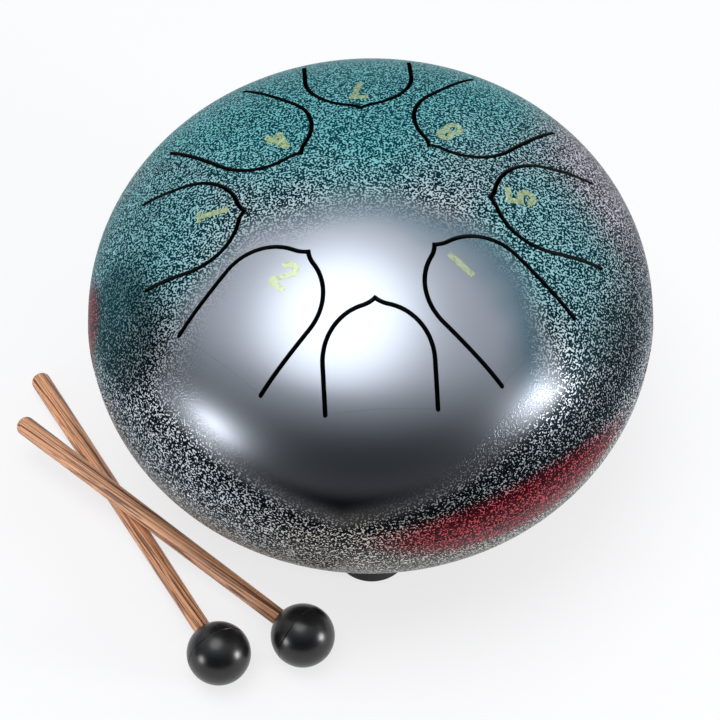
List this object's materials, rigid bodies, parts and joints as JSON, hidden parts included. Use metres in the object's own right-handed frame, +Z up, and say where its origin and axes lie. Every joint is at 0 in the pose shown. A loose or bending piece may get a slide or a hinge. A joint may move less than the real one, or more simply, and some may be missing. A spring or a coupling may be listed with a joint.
{
  "type": "steel tongue drum",
  "caption": "Rounded steel tongue drum with slit tongues that flex, note numbers and rubber feet, and crossed wooden mallets with rubber heads beside it.",
  "frame": {"origin": "on the floor, in the middle of the whole set of drum and mallets", "axes": "+Z up; the front tongue points to -Y and the mallets lie at the front left, towards -X and -Y"},
  "size_m": [0.2304, 0.2148, 0.135],
  "materials": {
    "coated_steel": "satin silver to hammered grey powder coat with teal and red fades",
    "sticker": "pale yellow-green luminous film",
    "foot_rubber": "matt black rubber",
    "zinc": "bright zinc plate",
    "stick_wood": "oiled wood with dark grain lines",
    "head_rubber": "satin black rubber"
  },
  "bodies": {
    "drum": {"upper_shell": "coated_steel", "weld_seam": "coated_steel", "lower_shell": "coated_steel", "foot_front": "foot_rubber", "foot_back_right": "foot_rubber", "foot_back_left": "foot_rubber", "foot_washers": "zinc", "foot_screws": "zinc"},
    "tongue_front": {"tongue_front": "coated_steel"},
    "tongue_front_right": {"tongue_front_right": "coated_steel", "number_front_right": "sticker"},
    "tongue_right": {"tongue_right": "coated_steel", "number_right": "sticker"},
    "tongue_back_right": {"tongue_back_right": "coated_steel", "number_back_right": "sticker"},
    "tongue_back": {"tongue_back": "coated_steel", "number_back": "sticker"},
    "tongue_back_left": {"tongue_back_left": "coated_steel", "number_back_left": "sticker"},
    "tongue_left": {"tongue_left": "coated_steel", "number_left": "sticker"},
    "tongue_front_left": {"tongue_front_left": "coated_steel", "number_front_left": "sticker"},
    "lower_mallet": {"lower_mallet_stick": "stick_wood", "lower_mallet_head": "head_rubber"},
    "upper_mallet": {"upper_mallet_stick": "stick_wood", "upper_mallet_head": "head_rubber"}
  },
  "joints": [
    {"name": "front_tongue_flex", "type": "hinge", "parent": "drum", "child": "tongue_front", "pos_m": [0.015, -0.06827, 0.11313], "axis": [-1, 0, 0], "range_deg": [-0.5, 0.5], "stiffness_Nm_per_rad": 150},
    {"name": "front_right_tongue_flex", "type": "hinge", "parent": "drum", "child": "tongue_front_right", "pos_m": [0.06886, -0.04666, 0.1126], "axis": [-0.7071, -0.7071, 0], "range_deg": [-0.5, 0.5], "stiffness_Nm_per_rad": 150},
    {"name": "right_tongue_flex", "type": "hinge", "parent": "drum", "child": "tongue_right", "pos_m": [0.09348, 0.00721, 0.11076], "axis": [0, -1, 0], "range_deg": [-0.5, 0.5], "stiffness_Nm_per_rad": 150},
    {"name": "back_right_tongue_flex", "type": "hinge", "parent": "drum", "child": "tongue_back_right", "pos_m": [0.06893, 0.06114, 0.11253], "axis": [0.7071, -0.7071, 0], "range_deg": [-0.5, 0.5], "stiffness_Nm_per_rad": 150},
    {"name": "back_tongue_flex", "type": "hinge", "parent": "drum", "child": "tongue_back", "pos_m": [0.015, 0.08418, 0.11199], "axis": [1, 0, 0], "range_deg": [-0.5, 0.5], "stiffness_Nm_per_rad": 150},
    {"name": "back_left_tongue_flex", "type": "hinge", "parent": "drum", "child": "tongue_back_left", "pos_m": [-0.03879, 0.061, 0.11268], "axis": [0.7071, 0.7071, 0], "range_deg": [-0.5, 0.5], "stiffness_Nm_per_rad": 150},
    {"name": "left_tongue_flex", "type": "hinge", "parent": "drum", "child": "tongue_left", "pos_m": [-0.06207, 0.00721, 0.11191], "axis": [0, 1, 0], "range_deg": [-0.5, 0.5], "stiffness_Nm_per_rad": 150},
    {"name": "front_left_tongue_flex", "type": "hinge", "parent": "drum", "child": "tongue_front_left", "pos_m": [-0.03802, -0.04581, 0.11349], "axis": [-0.7071, 0.7071, 0], "range_deg": [-0.5, 0.5], "stiffness_Nm_per_rad": 150},
    {"name": "lower_mallet_lift", "type": "slide", "parent": "drum", "child": "lower_mallet", "axis": [-0.6409, -0.2988, 0.7071], "range_m": [0, 0.12]},
    {"name": "upper_mallet_lift", "type": "slide", "parent": "lower_mallet", "child": "upper_mallet", "axis": [-0.183, -0.683, 0.7071], "range_m": [0, 0.12]}
  ]
}
